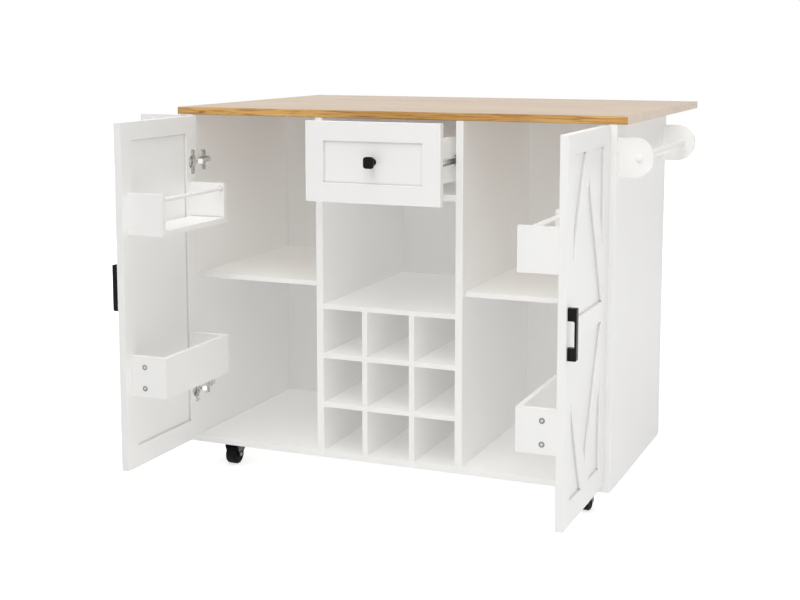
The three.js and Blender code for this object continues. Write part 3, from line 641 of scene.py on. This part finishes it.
def axle_caps():
    """Pressed caps on both ends of every caster's axle."""
    profile = [(5.2, -1.5), (5.2, 0.2), (4.6, 1.2), (3.0, 1.8), (1.2, 2.0)]
    for name in CASTERS:
        low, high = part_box(f"caster_fork_{name}")
        axle = middle(f"caster_wheel_{name}")

        def build(bm):
            for x, out in ((low.x, -1), (high.x, 1)):
                turned(bm, facing((x, axle.y, axle.z), (out, 0, 0)), profile)

        piece(f"axle_caps_{name}", build, GREY_CAP, f"caster_{name}")


# Screws stand in from the panel's edge, in columns of equal rows and in a line that
# parts the foot; none comes close to a column or under a bracket's channel.
BACK_INSET = 9 * MM
BACK_ROWS = 6
BACK_PARTS = 8
COLUMN_GAP = 0.03
CHANNEL_GAP = 0.005


def back_screws():
    """Small screws down the back panel's sides and both dividers, and along its foot."""
    low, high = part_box("back_panel")
    columns = [low.x + BACK_INSET, high.x - BACK_INSET]
    for name in ("divider_left", "divider_right"):
        columns.append(middle(name).x)
    foot = low.z + BACK_INSET
    rise = high.z - low.z - 4 * BACK_INSET
    places = [(x, foot + rise * i / (BACK_ROWS - 1)) for x in columns for i in range(BACK_ROWS)]
    for i in range(1, BACK_PARTS):
        x = low.x + (high.x - low.x) * i / BACK_PARTS
        if min(abs(x - column) for column in columns) > COLUMN_GAP:
            places.append((x, foot))
    channels = [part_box(f"leaf_bracket_channel_{side}") for side, _ in SIDES]

    def covered(x, z):
        return any(a.x - CHANNEL_GAP < x < b.x + CHANNEL_GAP and a.z - CHANNEL_GAP < z
                   for a, b in channels)

    seats = [((x, high.y, z), (0, 1, 0)) for x, z in places if not covered(x, z)]
    screws("back_screws", seats, 3.0 * MM, 1.2 * MM, ZINC, "carcass")


# The arm's sheet under the leaf, the channel's inner face off the back panel, and in
# millimetres the screws' distances from the arm's end and above the channel's foot.
ARM_SHEET = 2.5 * MM
CHANNEL_FACE = 2.25 * MM
ARM_SCREWS = (8, 30, 48)
CHANNEL_SCREWS = (14, 110, 200, 330)


def bracket_screws():
    """Screws that hold the bracket arms under the leaf, and their channels on the back."""
    for side, _ in SIDES:
        low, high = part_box(f"leaf_bracket_arm_{side}")
        mid = (low + high) / 2
        under = high.z - ARM_SHEET
        seats = [((mid.x, high.y - back * MM, under), (0, 0, -1)) for back in ARM_SCREWS]
        screws(f"leaf_screws_{side}", seats, 3.4 * MM, 1.6 * MM, ZINC, "leaf")
        low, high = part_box(f"leaf_bracket_channel_{side}")
        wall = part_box("back_panel")[1].y + CHANNEL_FACE
        seats = [((mid.x, wall, low.z + up * MM), (0, 1, 0)) for up in CHANNEL_SCREWS]
        screws(f"channel_screws_{side}", seats, 2.9 * MM, 0.5 * MM, ZINC,
               "carcass")


hinge_screws()
link_covers()
rack_caps()
towel_covers()
axle_caps()
back_screws()
bracket_screws()


# ------------------------------------------------------------------ camera
# The photograph's viewpoint, with most of its vertical shift given as a tilt.
CAMERA_PLACE = (1.2984, -3.1849, 1.0876)
CAMERA_TILT = math.radians(90 - 7.471)
CAMERA_TURN = math.radians(22.661)

camera_data = bpy.data.cameras.new("camera")
camera = bpy.data.objects.new("camera", camera_data)
bpy.context.scene.collection.objects.link(camera)
camera_data.sensor_width = 36
camera_data.lens = 62.13
camera_data.shift_y = -0.1
camera_data.clip_end = 60
camera.location = CAMERA_PLACE
camera.rotation_euler = (CAMERA_TILT, 0, CAMERA_TURN)
bpy.context.scene.camera = camera


# ------------------------------------------------------------------ light and floor
LAMP_AIM = Vector((0, 0, 0.45))
AMBIENT = 0.38
# Name, place, size, watts, and whether it casts shadows. The fill lamps cast none, as
# bounce boards would, so that they reach into the open bays.
LAMPS = (
    ("high_front", (0.4, -3.6, 3.9), (3.6, 2.2), 31, True),
    ("above", (0.0, -0.6, 4.0), (3.0, 3.0), 34, True),
    ("fill_top", (0.0, -1.5, 4.2), (3.0, 3.0), 49, False),
    ("fill_right", (3.4, -2.6, 1.6), (2.0, 2.0), 39, False),
    ("fill_back", (-1.2, 3.8, 1.5), (2.4, 2.4), 22, False),
)
FLOOR_REACH = 14.0
# The floor's glow grows from the object outwards until it is the white background.
FADE_START, FADE_END = 1.0, 2.6
GLOW_START, GLOW_END = 0.45, 1.0


def lamp(name, place_at, size, watts, shadow):
    """A soft white panel that faces the middle of the object and shows in no reflection."""
    data = bpy.data.lights.new(name, "AREA")
    data.shape = "RECTANGLE"
    data.size, data.size_y = size
    data.energy = watts
    data.use_shadow = shadow
    obj = bpy.data.objects.new(name, data)
    bpy.context.scene.collection.objects.link(obj)
    obj.visible_glossy = False
    obj.location = place_at
    aim = LAMP_AIM - Vector(place_at)
    obj.rotation_euler = aim.to_track_quat("-Z", "Y").to_euler()


def seen(tree):
    """1 for a ray from the camera, or one mirrored or passed on by the object."""
    path = node(tree, "LightPath")
    glossy = maths(tree, "MAXIMUM", path.outputs["Is Camera Ray"], path.outputs["Is Glossy Ray"])
    return maths(tree, "MAXIMUM", glossy, path.outputs["Is Transmission Ray"])


def light_room():
    """The lamps and a plain white surround, which lights the object less than it shows."""
    for settings in LAMPS:
        lamp(*settings)
    world = bpy.data.worlds.new("studio")
    bpy.context.scene.world = world
    world.use_nodes = True
    tree = world.node_tree
    back = tree.nodes["Background"]
    back.inputs["Color"].default_value = (1, 1, 1, 1)
    tree.links.new(span(tree, seen(tree), 0.0, 1.0, AMBIENT, 1.0), back.inputs["Strength"])


def lay_floor():
    """A pale floor that keeps the object's shadow."""
    bm = bmesh.new()
    corners = ((-1, -1), (1, -1), (1, 1), (-1, 1))
    bm.faces.new([bm.verts.new((FLOOR_REACH * x, FLOOR_REACH * y, 0.0)) for x, y in corners])
    mesh = bpy.data.meshes.new("floor")
    bm.to_mesh(mesh)
    bm.free()
    floor = bpy.data.objects.new("floor", mesh)
    bpy.context.scene.collection.objects.link(floor)
    mat, tree, shader = material("pale_floor", Base_Color=(0.9, 0.9, 0.9, 1), Roughness=0.9,
                                 Specular_IOR_Level=0.1, Emission_Color=(1, 1, 1, 1))
    away = node(tree, "VectorMath", {0: node(tree, "TexCoord").outputs["Object"]},
                operation="LENGTH").outputs["Value"]
    glow = span(tree, away, FADE_START, FADE_END, GLOW_START, GLOW_END)
    tree.links.new(maths(tree, "MULTIPLY", seen(tree), glow), shader.inputs["Emission Strength"])
    mesh.materials.append(mat)


light_room()
lay_floor()
bpy.context.scene.view_settings.view_transform = "Standard"
